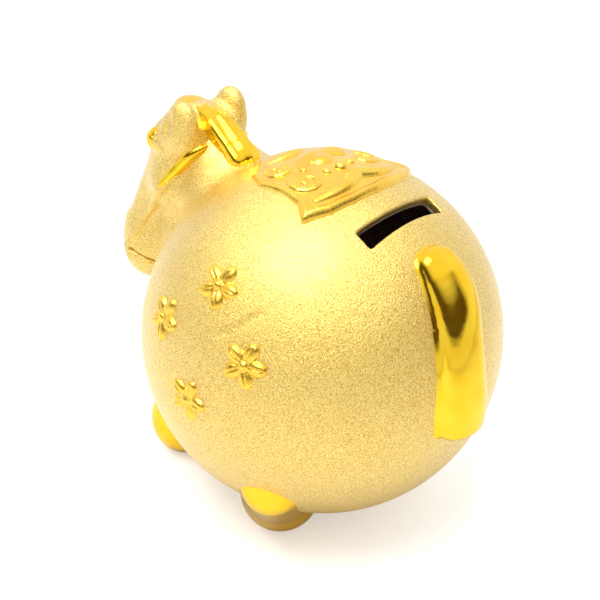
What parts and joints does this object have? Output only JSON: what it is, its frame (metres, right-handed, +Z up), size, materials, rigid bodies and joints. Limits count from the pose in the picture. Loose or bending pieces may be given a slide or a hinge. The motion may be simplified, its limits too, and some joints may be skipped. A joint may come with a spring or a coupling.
{
  "type": "money bank",
  "caption": "Round horse-shaped ceramic money bank with a coin slot in its back, short bulb feet and a soft stopper in its base.",
  "frame": {"origin": "on the table, at the middle of the part's outline seen from above", "axes": "+Z up; the horse faces -Y, its left side is +X"},
  "size_m": [0.1136, 0.14, 0.1181],
  "materials": {
    "satin_gold": "sand-textured ceramic with a metallic gold coating, satin sparkle",
    "bright_gold": "smooth glazed ceramic with a mirror-bright metallic gold coating",
    "soft_pvc": "soft translucent white moulded plastic"
  },
  "bodies": {
    "bank": {"body_upper": "satin_gold", "body_lower": "satin_gold", "head_shell": "satin_gold", "ear_left": "satin_gold", "ear_right": "satin_gold", "eye_left": "bright_gold", "eye_right": "bright_gold", "forelock": "bright_gold", "mane": "bright_gold", "cheek_lock_left": "bright_gold", "cheek_lock_right": "bright_gold", "saddle_pad": "bright_gold", "saddle_rim": "bright_gold", "saddle_relief": "bright_gold", "tail": "bright_gold", "foot_front_left": "bright_gold", "foot_front_right": "bright_gold", "foot_rear_left": "bright_gold", "foot_rear_right": "bright_gold", "blossoms_left": "bright_gold", "blossoms_right": "bright_gold"},
    "stopper": {"stopper": "soft_pvc"},
    "pull_tab": {"pull_tab": "soft_pvc"}
  },
  "joints": [
    {"name": "stopper_pull", "type": "slide", "parent": "bank", "child": "stopper", "axis": [0, -0.2588, -0.9659], "range_m": [0, 0.03]},
    {"name": "tab_flip", "type": "hinge", "parent": "stopper", "child": "pull_tab", "pos_m": [0, -0.00231, 0.00416], "axis": [1, 0, 0], "range_deg": [0, 90], "stiffness_Nm_per_rad": 0.002}
  ]
}
